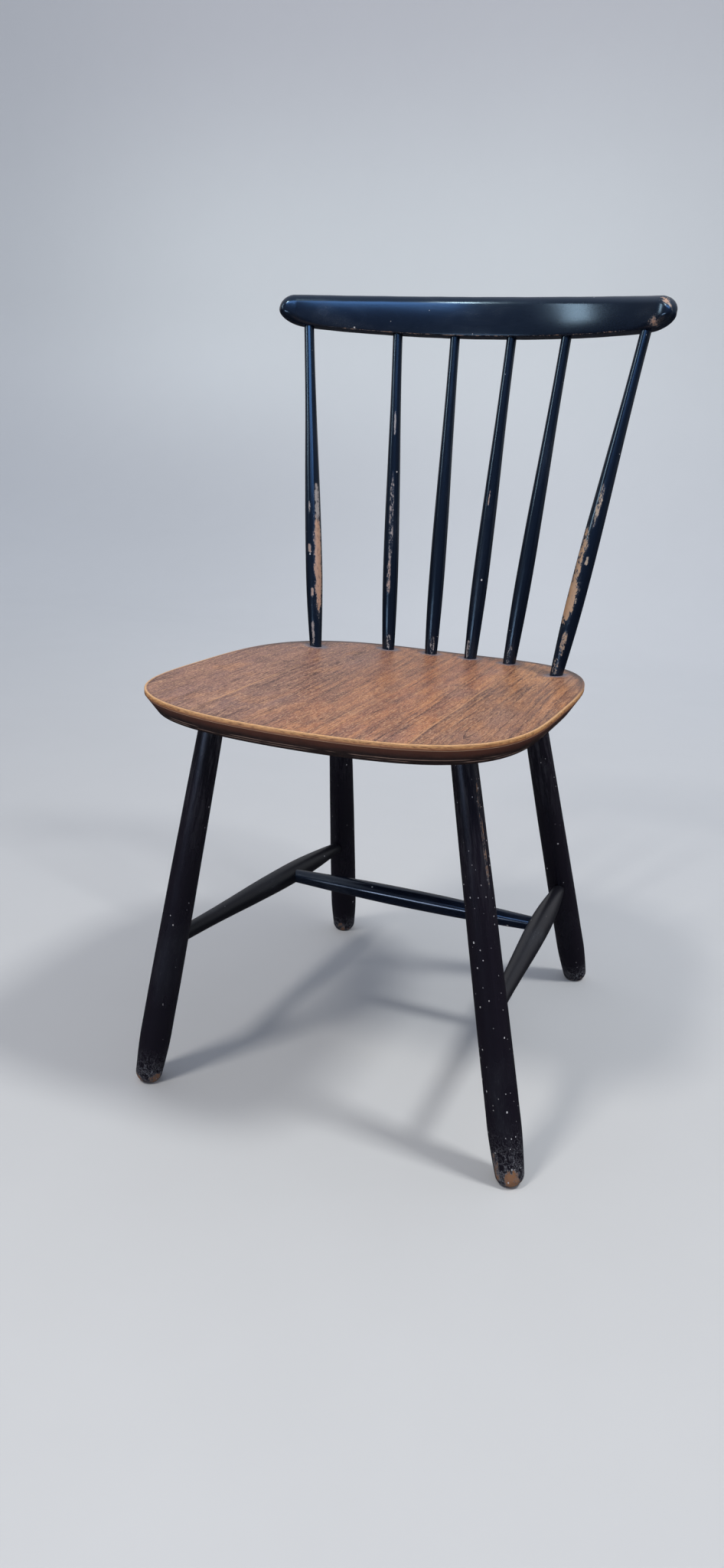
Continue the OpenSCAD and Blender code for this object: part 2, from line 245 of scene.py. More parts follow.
class Finish(Graph):
    """A material's graph."""

    def __init__(self, name):
        self.material = bpy.data.materials.new(name)
        super().__init__(self.material)
        self.surface = self.tree.nodes["Principled BSDF"]

    def shade(self, **sockets):
        for name, value in sockets.items():
            self.feed(self.surface.inputs[name.replace("_", " ")], value)
        return self.material


print("made the three classes that every finish below is written with")

# %% [markdown]
# A few helpers cover what finishes use all the time: blend two colours, lay several over each
# other, turn a value into a soft step, take the larger of two values, and read noise. Noise is
# stretched by scaling the place it is read at, which is how wood grain and brush marks get their
# direction: the three scales of a grain are its strokes to the metre along X, Y and Z.

# %% Helpers for finishes
def blend(f, low, high, share):
    """A colour between two colours."""
    return f.node("ShaderNodeMix", {"data_type": "RGBA"}, {0: share, 6: low, 7: high}, output=2)


def layered(f, colour, *layers):
    """A colour with others laid over it, each given with its share."""
    for tone, share in layers:
        colour = blend(f, colour, tone, share)
    return colour


def step(f, value, low, high):
    """0 up to low, 1 from high on, smooth between; low may be the greater of the two."""
    if low > high:
        return 1 - step(f, value, high, low)
    return f.node("ShaderNodeMapRange", {"interpolation_type": "SMOOTHSTEP"},
                  {0: value, 1: low, 2: high, 3: 0.0, 4: 1.0})


def maths(f, operation, a, b=0.0):
    return f.node("ShaderNodeMath", {"operation": operation}, {0: a, 1: b})


def larger(f, a, b):
    return maths(f, "MAXIMUM", a, b)


def smaller(f, a, b):
    return maths(f, "MINIMUM", a, b)


def size_of(f, a):
    return maths(f, "ABSOLUTE", a)


def own_place(f):
    return f.node("ShaderNodeTexCoord", {}, {}, output=3)


def along_axis(f, place, axis):
    """One of a place's numbers: 0, 1 and 2 for X, Y and Z."""
    return f.node("ShaderNodeSeparateXYZ", {}, {0: place}, output=axis)


def joined(f, x, y, z):
    return f.node("ShaderNodeCombineXYZ", {}, {0: x, 1: y, 2: z})


def vector_maths(f, operation, a, b=(0.0, 0.0, 0.0), output=0):
    """Output 0 is a vector, output 1 a number."""
    return f.node("ShaderNodeVectorMath", {"operation": operation}, {0: a, 1: b}, output)


def stretch(f, place, scale, shift):
    """A place scaled and then shifted."""
    return f.node("ShaderNodeVectorMath", {"operation": "MULTIPLY_ADD"}, {0: place, 1: scale, 2: shift})


def grain(f, place, scale, detail=3.0, rough=0.55, bend=0.0, shift=(0.0, 0.0, 0.0)):
    """Noise from 0 to 1, stretched along the axes."""
    sockets = {"Vector": stretch(f, place, scale, shift), "Scale": 1.0, "Detail": detail,
               "Roughness": rough, "Distortion": bend}
    return f.node("ShaderNodeTexNoise", {"noise_dimensions": "3D"}, sockets)


def near(f, value, middle, reach):
    """1 where a value is at the middle, 0 from reach away."""
    return 1 - step(f, size_of(f, value - middle), 0.0, reach)


def bumped(f, relief):
    """A surface raised by a relief in metres."""
    return f.node("ShaderNodeBump", {}, {"Strength": 1.0, "Distance": 1.0, "Height": relief})


print("made the helpers for colours, steps, places, grain and bump")

# %% [markdown]
# The paper is matt, with a faint mottle. The lamps hang over the chair and leave the far end of
# the sweep dim, so it glows by itself, for the eye only: the glow is asked for on camera rays
# alone and puts no light on the chair. The paper is also hidden from mirror rays, as a studio
# hides it with black flags, so that the black paint stays black.

# %% Finish the paper and the world
def paper_finish():
    f = Finish("grey_paper")
    place = own_place(f)
    side, depth, height = (along_axis(f, place, axis) for axis in (0, 1, 2))
    mottle = grain(f, place, (6.0, 6.0, 6.0), 4.0)
    colour = blend(f, (0.595, 0.59, 0.575), (0.625, 0.62, 0.605), mottle)
    glow = blend(f, (0.29, 0.31, 0.335), (0.34, 0.37, 0.395), step(f, height, 0.3, 1.0))
    low_left = step(f, side, -0.3, -2.4) * (1 - step(f, height, 0.2, 1.0))
    glow = layered(f, glow,
                   ((0.25, 0.26, 0.29), step(f, height, 1.3, 2.3)),
                   ((0.20, 0.215, 0.24), step(f, size_of(f, side + 1.5), 0.5, 2.1) * 0.7),
                   ((0.16, 0.175, 0.195), low_left * 0.7))
    seen = f.node("ShaderNodeLightPath", {}, {})
    glow = blend(f, (0.0, 0.0, 0.0), glow, step(f, depth, -0.6, 2.8) * seen)
    return f.shade(Base_Color=colour, Roughness=0.9, Specular_IOR_Level=0.1,
                   Emission_Color=glow, Emission_Strength=1.0)


def light_room():
    """A pale room behind, a dim one in front, paler overhead and dark below the horizon."""
    world = bpy.data.worlds.new("pale_room")
    bpy.context.scene.world = world
    f = Graph(world)
    direction = f.node("ShaderNodeTexCoord", {}, {})
    depth, height = along_axis(f, direction, 1), along_axis(f, direction, 2)
    room = blend(f, (0.085, 0.11, 0.175), (0.41, 0.41, 0.43), step(f, depth, -0.45, 0.40))
    room = blend(f, room, (0.53, 0.58, 0.70), step(f, height, 0.35, 0.8))
    room = blend(f, (0.03, 0.03, 0.035), room, step(f, height, -0.15, 0.12))
    seen = f.node("ShaderNodeLightPath", {}, {})
    f.feed(f.tree.nodes["Background"].inputs["Color"], blend(f, room, (0.52, 0.56, 0.62), seen))


paper.data.materials.append(paper_finish())
paper.visible_glossy = False
light_room()
print("paper and world are set")

# %% [markdown]
# ## Measuring the turned wood
#
# Thirteen of the pieces were shaped on a lathe: each is a stack of circles on one straight axis.
# The measured model has those circles as rings of points, so the axis and the profile can be
# read back from it instead of being typed again. The longest direction of the points gives a
# first axis. Points at one distance along it form a ring, and the line through the rings'
# centres gives the true axis.

# %% Read a lathe profile from the measured chair
RING_GAP = 1.2 * MM
RING_POINTS = 16
RING_SPREAD = 0.2 * MM


def corners(name):
    points = np.empty(len(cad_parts[name].data.vertices) * 3)
    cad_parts[name].data.vertices.foreach_get("co", points)
    return np.unique(points.reshape(-1, 3).round(6), axis=0)


def read_rings(name):
    """The axis's first centre, its direction, and each ring's distance and radius."""
    points = corners(name)
    axis = np.linalg.svd(points - points.mean(0), full_matrices=False)[2][0]
    axis = axis * np.sign(axis[np.abs(axis).argmax()])
    for attempt in range(3):
        order = (points @ axis).argsort()
        gaps = np.diff((points @ axis)[order])
        rings = []
        for group in np.split(order, np.where(gaps > RING_GAP)[0] + 1):
            centre = points[group].mean(0)
            reach = np.linalg.norm(np.cross(points[group] - centre, axis), axis=1)
            if len(group) >= RING_POINTS and np.ptp(reach) < RING_SPREAD:
                rings.append((centre, reach.mean()))
        axis = rings[-1][0] - rings[0][0]
        axis = axis / np.linalg.norm(axis)
    start = rings[0][0]
    return start, axis, [((centre - start) @ axis, radius) for centre, radius in rings]


LEGS = ["leg_front_left", "leg_front_right", "leg_rear_left", "leg_rear_right"]
SPINDLES = ["spindle_left_outer", "spindle_left_middle", "spindle_left_inner",
            "spindle_right_inner", "spindle_right_middle", "spindle_right_outer"]
STRETCHERS = ["side_stretcher_left", "side_stretcher_right", "cross_stretcher"]
turnings = {name: read_rings(name) for name in LEGS + SPINDLES + STRETCHERS}
for name, (start, axis, rings) in turnings.items():
    print(name, "rings", len(rings), "length", round(rings[-1][0] / MM), "mm, thickest",
          round(max(r for d, r in rings) / MM, 1), "mm")

# %% [markdown]
# ## Turning the wood again, finer
#
# Each turned piece gets its own axes: Z runs along the wood and -Y looks at the sitter's front,
# or straight up for a stretcher. A finish can then say "bare, 60 mm up, facing left" in the
# piece's own terms. Between the rings the profile follows a smooth curve, because straight cones
# would break up the long highlights. Hand-held tools never cut a perfect circle, so the radius
# wanders by about a tenth of a millimetre.

# %% Turn a piece
LATHE_WANDER = 0.1 * MM
WANDER_WAVE = 45 * MM


def curve_through(places, xs, ys):
    """Heights at the places on a smooth curve through the given points."""
    slopes = np.gradient(ys, xs)
    k = np.clip(np.searchsorted(xs, places) - 1, 0, len(xs) - 2)
    width = xs[k + 1] - xs[k]
    t = np.clip((places - xs[k]) / width, 0, 1)
    return ((2 * t**3 - 3 * t**2 + 1) * ys[k] + (t**3 - 2 * t**2 + t) * width * slopes[k]
            + (3 * t**2 - 2 * t**3) * ys[k + 1] + (t**3 - t**2) * width * slopes[k + 1])


def wander(seed, along, angle, wave):
    """A smooth value from -1 to 1 that wanders over a turned surface."""
    random = np.random.default_rng(seed)
    total = np.zeros(np.broadcast(along, angle).shape)
    for turns in (0, 1, 2, 3):
        start = random.uniform(0, 2 * math.pi)
        total = total + np.sin(along / wave * (1 + turns * 0.7) + turns * angle + start)
    return total / 4


def skin_mesh(name, grid):
    """A mesh from rings of points, each ring closed, with a cap on both ends."""
    rings, sides = grid.shape[:2]
    index = np.arange(rings * sides).reshape(rings, sides)
    a, b = index[:-1], index[1:]
    quads = np.stack([a, np.roll(a, -1, 1), np.roll(b, -1, 1), b], axis=-1).reshape(-1, 4)
    points = np.vstack([grid.reshape(-1, 3), grid[0].mean(0), grid[-1].mean(0)])
    first, last = len(points) - 2, len(points) - 1
    faces = [tuple(q) for q in quads.tolist()]
    faces += [(index[0, (k + 1) % sides], index[0, k], first) for k in range(sides)]
    faces += [(index[-1, k], index[-1, (k + 1) % sides], last) for k in range(sides)]
    mesh = bpy.data.meshes.new(name)
    mesh.from_pydata(points.tolist(), [], faces)
    mesh.polygons.foreach_set("use_smooth", [True] * len(mesh.polygons))
    mesh.update()
    return mesh


def own_axes(start, axis, face):
    """The place and turn of a piece whose Z is the axis and whose -Y looks towards face."""
    z = Vector(axis)
    y = -(Vector(face) - Vector(face).dot(z) * z).normalized()
    return Matrix.Translation(Vector(start)) @ Matrix((y.cross(z), y, z)).transposed().to_4x4()


def turn_piece(name, face, sides, spacing, seed, foot=None):
    start, axis, rings = turnings[name]
    xs, ys = (np.array(column) for column in zip(*rings))
    places = np.linspace(xs[0], xs[-1], round((xs[-1] - xs[0]) / spacing) + 1)
    radii = curve_through(places, xs, ys)
    if foot:
        places, radii = foot(places, radii)
    angle = np.linspace(0, 2 * math.pi, sides, endpoint=False)[None, :]
    along = places[:, None]
    radius = radii[:, None] + LATHE_WANDER * wander(seed, along, angle, WANDER_WAVE)
    grid = np.stack([radius * np.sin(angle), -radius * np.cos(angle), along + 0 * radius], axis=-1)
    piece = add_object(name + "_turned", skin_mesh(name + "_turned", grid))
    piece.matrix_world = own_axes(start, axis, face)
    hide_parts(name)
    return piece


FRONT, UP = (0.0, -1.0, 0.0), (0.0, 0.0, 1.0)
pieces = {}
for seed, name in enumerate(SPINDLES):
    pieces[name] = turn_piece(name, FRONT, sides=72, spacing=1.6 * MM, seed=10 + seed)
for seed, name in enumerate(STRETCHERS):
    pieces[name] = turn_piece(name, UP, sides=72, spacing=2.2 * MM, seed=30 + seed)
print("turned", len(pieces), "spindles and stretchers with",
      sum(len(p.data.polygons) for p in pieces.values()), "faces")

# %% [markdown]
# The legs need one thing more. Each stands on a rounded end that years of scraping have worn
# flat and chipped. The lowest rings of the measured leg are cut by the floor, so the rounded end
# is drawn again as a quarter ellipse, the rim is knocked back by a noisy bite, and whatever
# would dip under the floor is pressed flat on it.

# %% Turn the legs and wear their feet
FOOT_ROUND = 12.5 * MM
FOOT_SHARE = 0.88
CHIP_TOP, CHIP_FULL = 16 * MM, 3 * MM
CHIP_WAVE = 5 * MM


def rings_above_the_round(rings):
    """The rings from the top of the rounded end upwards."""
    least = FOOT_SHARE * max(radius for distance, radius in rings) - 0.02 * MM
    first = next(k for k, (distance, radius) in enumerate(rings) if radius > least)
    return rings[first:]


def rounded_foot(places, radii):
    """The leg's profile with its rounded end drawn again as a quarter ellipse."""
    turn = np.linspace(0.04, 1, 20)[:-1] * math.pi / 2
    ends = places[0] - FOOT_ROUND * np.cos(turn)
    return np.concatenate([ends, places]), np.concatenate([radii[0] * np.sin(turn), radii])


def press_on_floor(piece, bite, seed):
    """Chips the rim of a foot and flattens it on the floor."""
    points = np.empty(len(piece.data.vertices) * 3)
    piece.data.vertices.foreach_get("co", points)
    points = points.reshape(-1, 3)
    turn = np.array(piece.matrix_world)
    world = points @ turn[:3, :3].T + turn[:3, 3]
    angle = np.arctan2(points[:, 0], -points[:, 1])
    rim = np.clip(1 - world[:, 2] / CHIP_TOP, 0, 1) * np.clip(world[:, 2] / CHIP_FULL, 0, 1)
    chips = np.clip(wander(seed, world[:, 2] * 3, 3 * angle, CHIP_WAVE) - 0.15, 0, 1)
    points[:, :2] *= (1 - bite * rim * chips)[:, None]
    world = points @ turn[:3, :3].T + turn[:3, 3]
    world[:, 2] = np.maximum(world[:, 2], 0)
    points = (world - turn[:3, 3]) @ turn[:3, :3]
    piece.data.vertices.foreach_set("co", points.reshape(-1))
    piece.data.update()


for seed, name in enumerate(LEGS):
    start, axis, rings = turnings[name]
    turnings[name] = (start, axis, rings_above_the_round(rings))
    pieces[name] = turn_piece(name, FRONT, sides=96, spacing=2.0 * MM, seed=50 + seed, foot=rounded_foot)
    press_on_floor(pieces[name], bite=0.08, seed=70 + seed)
    low = min((pieces[name].matrix_world @ v.co).z for v in pieces[name].data.vertices)
    print(name, "faces", len(pieces[name].data.polygons), "lowest point", round(low / MM, 2), "mm")

# %% [markdown]
# ## The seat board
#
# The seat is seven or so plies glued in a bent press and then sawn to a soft, broad outline:
# nearly square corners in front and rounder ones behind. A superellipse draws both with one
# formula. The face is a grid of quads stretched inside that outline, which keeps the mesh even
# right to the edge, and the edge is a strip of rings: a tiny rounding, an upright band, and a
# long bevel that runs in under the board so that the seat looks thin.

# %% The outline of the seat
SEAT_DEPTH = 451 * MM
SEAT_THICK = 20 * MM
SEAT_WIDEST = 192 * MM
SEAT_DISH = 11.4 * MM
SEAT_TILT = math.radians(0.86)
EDGE_BAND = 4.5 * MM
EDGE_BEVEL = 10.2 * MM
SEAT_HEIGHT = 438 * MM
SPINDLE_TENON = 13 * MM
FRONT_POWER, REAR_POWER = 4.5, 2.67

seat_low, seat_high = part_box("seat")
half_width = (seat_high.x - seat_low.x) / 2
widest_y = seat_low.y + SEAT_WIDEST
dish_radius = half_width**2 / (2 * SEAT_DISH)
spindle_feet = [np.array(turnings[n][0]) + SPINDLE_TENON * turnings[n][1] for n in SPINDLES]
pivot_y = spindle_feet[2][1]


def seat_top(x, y):
    """The height of the seat's face, which is dished across and tilts back a little."""
    dish = dish_radius - np.sqrt(dish_radius**2 - x**2)
    return SEAT_HEIGHT + dish - math.tan(SEAT_TILT) * (y - pivot_y)


def outline_at(angle, margin):
    """Points of the seat's outline at angles from the right, drawn in by a margin."""
    front = np.sin(angle) < 0
    power = np.where(front, FRONT_POWER, REAR_POWER)
    depth = np.where(front, SEAT_WIDEST, SEAT_DEPTH - SEAT_WIDEST)
    x = (half_width - margin) * np.sign(np.cos(angle)) * np.abs(np.cos(angle)) ** (2 / power)
    y = widest_y + (depth - margin) * np.sign(np.sin(angle)) * np.abs(np.sin(angle)) ** (2 / power)
    return np.stack([x, y], axis=-1)


def even_angles(count, first, last):
    """Angles whose outline points lie evenly spaced between two angles."""
    fine = np.linspace(first, last, 6001)
    path = outline_at(fine, 0.0)
    run = np.concatenate([[0], np.cumsum(np.linalg.norm(np.diff(path, axis=0), axis=1))])
    return np.interp(np.linspace(0, run[-1], count + 1), run, fine)[:-1]


SIDE_QUADS = 160
quarter_starts = [math.radians(a) for a in (-135, -45, 45, 135, 225)]
outline_angles = np.concatenate([even_angles(SIDE_QUADS, a, b)
                                 for a, b in zip(quarter_starts, quarter_starts[1:])])
print("outline points:", len(outline_angles), "highest point of the face:",
      round(float(seat_top(half_width, widest_y)) / MM, 1), "mm")

# %% [markdown]
# The face grid is a Coons patch: each inner point is blended from the four sides of the outline.
# The strip of edge rings then closes the board. Old seats are dented, so many small, shallow
# bites are taken out of the band.

# %% Build the seat board
BITES = 46


def coons_grid(loop, side):
    """Fills a closed loop of 4 * side points with a square grid of points."""
    front, right = loop[0:side + 1], loop[side:2 * side + 1]
    back = loop[2 * side:3 * side + 1][::-1]
    left = np.concatenate([loop[3 * side:], loop[:1]])[::-1]
    u = np.linspace(0, 1, side + 1)[None, :, None]
    v = np.linspace(0, 1, side + 1)[:, None, None]
    sides = (1 - v) * front[None] + v * back[None] + (1 - u) * left[:, None] + u * right[:, None]
    ends = ((1 - u) * (1 - v) * front[0] + u * (1 - v) * front[-1]
            + (1 - u) * v * back[0] + u * v * back[-1])
    return sides - ends


def edge_profile():
    """[drop below the face, run inwards] from the face to the underside."""
    arris, low_arris = 0.8 * MM, 0.9 * MM
    turn = np.linspace(0, 1, 5) * math.pi / 2
    first = [(arris * (1 - math.cos(a)), arris * (1 - math.sin(a))) for a in turn]
    band = [(d, 0.0) for d in np.linspace(arris, EDGE_BAND, 7)[1:]]
    bevel = [(EDGE_BAND + t * (SEAT_THICK - EDGE_BAND), t * EDGE_BEVEL)
             for t in np.linspace(0, 0.95, 17)[1:]]
    last = [(SEAT_THICK - 0.25 * low_arris, EDGE_BEVEL * 0.99 + 0.1 * low_arris),
            (SEAT_THICK, EDGE_BEVEL + 0.6 * low_arris)]
    return np.array(first + band + bevel + last)


def edge_bites(xy, drop):
    """How far the worn edge is knocked in, at outline points and drops."""
    angle = np.arctan2(xy[:, 1] - widest_y, xy[:, 0])
    bite = np.zeros((len(drop), len(xy)))
    random = np.random.default_rng(7)
    for k in range(BITES):
        where = random.uniform(-math.pi, math.pi)
        wide = random.uniform(0.004, 0.014)
        deep = random.uniform(0.1, 0.45) * MM
        high = random.uniform(0.0, EDGE_BAND)
        tall = random.uniform(0.6, 2.0) * MM
        turn = (angle - where + math.pi) % (2 * math.pi) - math.pi
        beside = np.exp(-(turn / wide) ** 2)[None, :]
        below = np.exp(-((drop - high) / tall) ** 2)[:, None]
        bite += deep * beside * below
    return bite


def build_seat():
    side = SIDE_QUADS
    profile = edge_profile()
    inner = outline_at(outline_angles, profile[0, 1])
    face_xy = coons_grid(inner, side).reshape(-1, 2)
    base_xy = coons_grid(outline_at(outline_angles, profile[-1, 1]), side).reshape(-1, 2)
    middle = np.array([0, widest_y])
    bites = edge_bites(inner, profile[:, 0])
    rings = []
    for (drop, margin), bite in zip(profile[1:-1], bites[1:-1]):
        xy = outline_at(outline_angles, margin)
        inwards = (middle - xy) / np.linalg.norm(middle - xy, axis=1)[:, None]
        xy = xy + inwards * bite[:, None]
        rings.append(np.column_stack([xy, seat_top(xy[:, 0], xy[:, 1]) - drop]))
    face = np.column_stack([face_xy, seat_top(face_xy[:, 0], face_xy[:, 1])])
    base = np.column_stack([base_xy, seat_top(base_xy[:, 0], base_xy[:, 1]) - SEAT_THICK])
    points = np.vstack([face, base] + rings)
    drops = np.concatenate([np.zeros(len(face)), np.full(len(base), SEAT_THICK),
                            np.repeat(profile[1:-1, 0], len(outline_angles))])
    apart = np.array([np.linalg.norm(inner - point, axis=1).min() for point in face_xy])
    rims = np.concatenate([apart, np.zeros(len(points) - len(apart))])
    grid = np.arange((side + 1) ** 2).reshape(side + 1, side + 1)
    square = np.stack([grid[:-1, :-1], grid[:-1, 1:], grid[1:, 1:], grid[1:, :-1]], -1).reshape(-1, 4)
    border = np.concatenate([grid[0, :-1], grid[:-1, -1], grid[-1, :0:-1], grid[:0:-1, 0]])
    count = len(outline_angles)
    loops = [border] + [2 * len(face) + k * count + np.arange(count) for k in range(len(rings))]
    loops.append(len(face) + border)
    strips = [np.stack([b, np.roll(b, -1), np.roll(a, -1), a], -1) for a, b in zip(loops, loops[1:])]
    faces = np.vstack([square, len(face) + square[:, ::-1]] + strips)
    mesh = bpy.data.meshes.new("seat_board")
    mesh.from_pydata(points.tolist(), [], faces.tolist())
    mesh.polygons.foreach_set("use_smooth", [True] * len(mesh.polygons))
    mesh.attributes.new("drop", "FLOAT", "POINT").data.foreach_set("value", drops)
    mesh.attributes.new("rim", "FLOAT", "POINT").data.foreach_set("value", rims)
    mesh.update()
    return mesh


seat = add_object("seat_board", build_seat())
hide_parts("seat")
pieces["seat"] = seat
print("seat board faces:", len(seat.data.polygons))

# %% [markdown]
# ## The crest rail
#
# The crest rail was sawn from a bent blank and shaped by hand. Its face is a little crowned, so
# it darkens from the top down. Its top is rounded over, and its lower edge keeps a crisp arris
# that melts away towards both ends, which close in a blunt nose. It is a sweep: one section is
# carried along an arc that lies flat, leans back, and shrinks in the noses. Two values are
# stored on every point, the distance along the rail and the distance round the section, so that
# the finish can put brush marks along the rail and wear on its arris.

# %% Build the crest rail
RAIL_LENGTH, RAIL_RADIUS, RAIL_THICK = 474 * MM, 336 * MM, 22 * MM
RAIL_MID_HEIGHT, RAIL_END_HEIGHT = 43 * MM, 30 * MM
RAIL_LEAN = math.radians(6.6)
RAIL_NOSE, RAIL_LOW_NOSE = 17 * MM, 30 * MM
RAIL_BEHIND = 46 * MM
TOP_ROUND, LOW_ROUND, NOSE_ROUND = 9.5 * MM, 1.6 * MM, 10.2 * MM
FACE_CROWN = 1.5 * MM
ARRIS_FADE = 52 * MM
rail_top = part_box("crest_rail")[1].z


def rail_section(height, low_round):
    """[backwards, upwards] points round the rail, from the lower front arris upwards."""
    t, z = RAIL_THICK / 2, height / 2

    def corner(x, y, r, start, steps):
        turn = start - np.linspace(0, 1, steps) * math.pi / 2
        return [(x + r * math.cos(a), y + r * math.sin(a)) for a in turn]

    def side(a, b, steps):
        share = np.linspace(0, 1, steps + 1)[1:-1]
        return [((1 - s) * a[0] + s * b[0], (1 - s) * a[1] + s * b[1]) for s in share]

    low_front = corner(low_round - t, low_round - z, low_round, -math.pi / 2, 8)
    top_front = corner(TOP_ROUND - t, z - TOP_ROUND, TOP_ROUND, math.pi, 12)
    top_back = corner(t - TOP_ROUND, z - TOP_ROUND, TOP_ROUND, math.pi / 2, 12)
    low_back = corner(t - low_round, low_round - z, low_round, 0, 8)
    points = np.array(low_front + side(low_front[-1], top_front[0], 18) + top_front
                      + side(top_front[-1], top_back[0], 3) + top_back
                      + side(top_back[-1], low_back[0], 18) + low_back
                      + side(low_back[-1], low_front[0], 12))
    crown = FACE_CROWN * (points[:, 1] / z) ** 2 - FACE_CROWN * 0.5 * points[:, 1] / z
    points[:, 0] += crown * np.clip(-points[:, 0] / t, 0, 1)
    return points


def nose_share(far, long):
    """How full the section still is, at a distance from the end of a nose."""
    return max(0.02, math.sqrt(max(0, 1 - max(0, 1 - far / long) ** 2)))


def build_rail():
    half = RAIL_LENGTH / 2
    turn = np.linspace(0, 1, 30) * math.pi / 2
    nose = half - RAIL_LOW_NOSE * (1 - np.sin(turn))
    straight = np.linspace(nose[0], -nose[0], 260)[1:-1]
    runs = np.concatenate([nose[::-1], straight, -nose])
    mid_z = rail_top - RAIL_MID_HEIGHT / 2 * math.cos(RAIL_LEAN)
    arc_y = pivot_y + RAIL_BEHIND - RAIL_RADIUS
    rows, run_values, round_values = [], [], []
    for run in runs:
        share = abs(run) / half
        height = RAIL_MID_HEIGHT + (RAIL_END_HEIGHT - RAIL_MID_HEIGHT) * share**2
        far = half - abs(run)
        upper, lower = nose_share(far, RAIL_NOSE), nose_share(far, RAIL_LOW_NOSE)
        thick = 0.2 + 0.8 * upper
        fade = min(1, max(0, 1 - far / ARRIS_FADE))
        low_round = LOW_ROUND + (NOSE_ROUND - LOW_ROUND) * fade**2 * (3 - 2 * fade)
        section = rail_section(height, low_round)
        angle = run / RAIL_RADIUS
        out = np.array([math.sin(angle), math.cos(angle), 0])
        up = out * math.sin(RAIL_LEAN) + np.array([0, 0, math.cos(RAIL_LEAN)])
        back = out * math.cos(RAIL_LEAN) - np.array([0, 0, math.sin(RAIL_LEAN)])
        centre = np.array([0, arc_y, mid_z]) + RAIL_RADIUS * out
        scale = np.where(section[:, 1] > 0, upper, lower)
        lip = 0.12 * MM * math.sin(run * 90) + 0.08 * MM * math.sin(run * 210 + 1)
        backwards = back * (section[:, :1] * thick)
        upwards = up * (section[:, 1:] * scale[:, None] + lip * 0.5)
        rows.append(centre + backwards + upwards)
        steps = np.linalg.norm(np.diff(section, axis=0), axis=1)
        run_values.append(np.full(len(section), run))
        round_values.append(np.concatenate([[0], np.cumsum(steps)]))
    mesh = skin_mesh("crest_rail_shaped", np.array(rows))
    for label, values in (("run", run_values), ("girth", round_values)):
        values = np.concatenate(values)
        values = np.append(values, [values[0], values[-1]])
        mesh.attributes.new(label, "FLOAT", "POINT").data.foreach_set("value", values)
    return mesh


rail = add_object("crest_rail_shaped", build_rail())
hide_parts("crest_rail")
pieces["crest_rail"] = rail
print("crest rail faces:", len(rail.data.polygons))

# %% [markdown]
# ## Worn black paint on beech
#
# The paint is a satin black, navy on the spindles, crest rail and cross stretcher as a painted
# reflection of blue light, and a little brown on the legs.
# It comes away in ragged patches that follow the grain, so a patch is an ellipse in the piece's
# own terms whose edge is eaten by noise. Three zones follow from one value: bare beech in the
# middle, a thin pale rim of broken paint round it, and grey rubbed paint beyond. Tiny chips and
# scratches cover the rest. Bump comes from the same masks, because the paint is a film that
# stands proud of the wood.

# %% Painted beech
def beech(f, place):
    """Bare beech: pinkish tan with fine grain along Z and short dark flecks."""
    fibres = grain(f, place, (900.0, 900.0, 40.0))
    broad = grain(f, place, (160.0, 160.0, 18.0), 2.0)
    flecks = grain(f, place, (1500.0, 1500.0, 260.0), 1.0, shift=(3.0, 1.0, 2.0))
    return layered(f, blend(f, (0.34, 0.18, 0.10), (0.60, 0.35, 0.215), fibres),
                   ((0.46, 0.32, 0.26), broad * 0.6),
                   ((0.20, 0.10, 0.06), step(f, flecks, 0.62, 0.72) * 0.55))


def facing(f, place, degrees):
    """The angle, in radians, between a place on a turned piece and a direction round it."""
    turn = math.radians(degrees)
    flat = vector_maths(f, "MULTIPLY", place, (1.0, 1.0, 0.0))
    unit = vector_maths(f, "NORMALIZE", flat)
    dot = vector_maths(f, "DOT_PRODUCT", unit, (math.sin(turn), -math.cos(turn), 0.0), output=1)
    return maths(f, "ARCCOSINE", smaller(f, dot, 0.99999))


def patch(f, along, angle, low, high, spread):
    """1 in the middle of a patch from low to high (mm) and spread (degrees) wide, 0 at its edge."""
    middle, reach = (low + high) / 2 * MM, (high - low) / 2 * MM
    up = (along - middle) / reach
    side = angle / math.radians(spread)
    return 1 - (up * up * (up * up) + side * side)


def worn_by(f, place, along, patches):
    """How far the paint is worn, bare from 0.5 on, and how much primer shows there."""
    worn, pale = -1.0, 0.0
    for low, high, degrees, spread, strength, primer in patches:
        here = patch(f, along, facing(f, place, degrees), low, high, spread)
        inside, outside = larger(f, here, 0.0), smaller(f, here, 0.0)
        worn = larger(f, worn, inside * strength + outside * 0.25 + 0.5)
        pale = larger(f, pale, step(f, here, -1.5, 0.0) * primer)
    return worn, pale


def chipped_dots(f, place, share):
    """Round chips of several sizes, in a share of the cells."""
    cells = f.node("ShaderNodeTexVoronoi", {}, {"Vector": place, "Scale": 1.0})
    tone = f.node("ShaderNodeTexVoronoi", {}, {"Vector": place, "Scale": 1.0}, output=1)
    chance = f.node("ShaderNodeSeparateColor", {}, {0: tone}, output=0)
    size = f.node("ShaderNodeSeparateColor", {}, {0: tone}, output=1)
    radius = size * size * size * 0.12 + 0.085
    return step(f, radius - cells, 0.0, 0.04) * step(f, chance, 1 - share, 1.001 - share)


PAINT_FILM = 0.16 * MM
DOT_DEPTH = 0.1 * MM
FINE_RELIEF = 0.02 * MM


